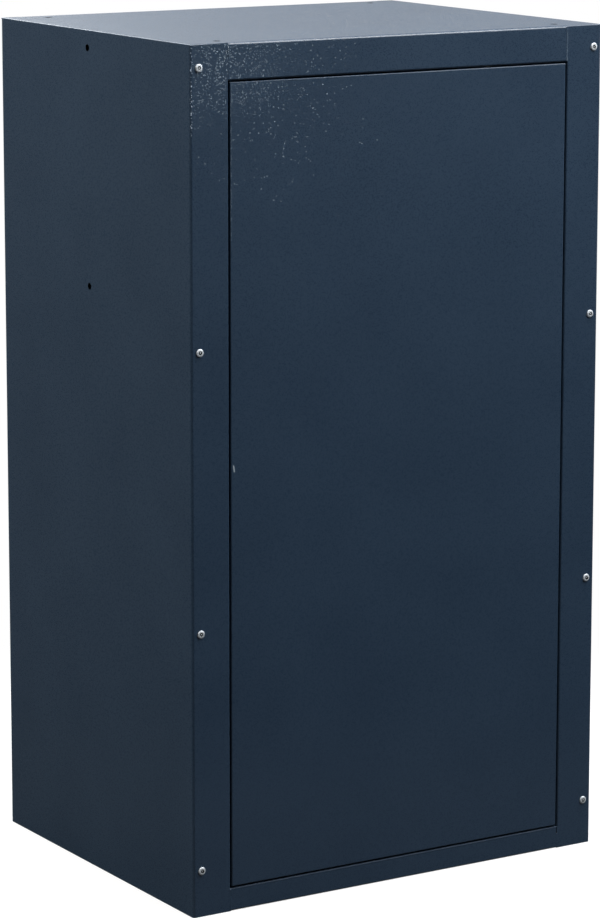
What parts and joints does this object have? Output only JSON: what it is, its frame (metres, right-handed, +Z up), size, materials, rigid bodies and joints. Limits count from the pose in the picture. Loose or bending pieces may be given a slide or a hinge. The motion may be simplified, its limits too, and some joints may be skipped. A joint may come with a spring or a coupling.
{
  "type": "workshop cabinet",
  "caption": "Tall floor-standing sheet-steel workshop cabinet with a flush inset door on concealed pivots, a push-to-open latch and slotted posts that carry its shelves.",
  "frame": {"origin": "middle of the cabinet's footprint, on the floor", "axes": "+X to the right seen from the front (hinge side), -Y towards the person at the front, +Z up"},
  "size_m": [0.505, 0.4078, 0.9],
  "materials": {
    "powder_coat": "fine-texture powder coat, dark blue-grey, semi-matt",
    "rivet_metal": "bright drawn aluminium",
    "zinc_plate": "bright zinc plate",
    "bright_steel": "turned bright steel",
    "nylon": "black moulded nylon, satin",
    "black_plastic": "moulded, satin",
    "black_rubber": "moulded, matt"
  },
  "bodies": {
    "cabinet": {"side_panel_left": "powder_coat", "side_panel_right": "powder_coat", "top_panel": "powder_coat", "bottom_panel": "powder_coat", "rear_panel": "powder_coat", "front_post_left": "powder_coat", "front_post_right": "powder_coat", "rear_post_left": "powder_coat", "rear_post_right": "powder_coat", "front_rivets_left": "rivet_metal", "front_rivets_right": "rivet_metal", "rear_rivets_left": "rivet_metal", "rear_rivets_right": "rivet_metal", "shelf_lower": "powder_coat", "shelf_upper": "powder_coat", "shelf_clips_lower": "zinc_plate", "shelf_clips_upper": "zinc_plate", "hinge_bracket_top": "zinc_plate", "hinge_bracket_bottom": "zinc_plate", "hinge_bush_top": "nylon", "hinge_bush_bottom": "nylon", "latch_bracket": "zinc_plate", "latch_bracket_rivets": "rivet_metal", "latch_housing": "black_plastic", "latch_screws": "bright_steel", "latch_spring": "bright_steel", "door_stop_top": "powder_coat", "door_stop_bottom": "powder_coat", "door_bumpers": "black_rubber"},
    "door": {"door_pan": "powder_coat", "door_stiffener": "powder_coat", "hinge_plate_top": "zinc_plate", "hinge_plate_bottom": "zinc_plate", "hinge_pin_top": "bright_steel", "hinge_pin_bottom": "bright_steel", "strike_plate": "zinc_plate", "strike_rivets": "rivet_metal"},
    "plunger": {"latch_plunger": "black_plastic", "latch_magnet": "bright_steel"}
  },
  "joints": [
    {"name": "door_hinge", "type": "hinge", "parent": "cabinet", "child": "door", "pos_m": [0.18033, -0.1945, 0.4433], "axis": [0, 0, 1], "range_deg": [0, 110]},
    {"name": "latch_push", "type": "slide", "parent": "cabinet", "child": "plunger", "axis": [0, 1, 0], "range_m": [0, 0.003], "stiffness_N_per_m": 400, "springref_m": -0.006, "deforming": ["latch_spring"]}
  ]
}
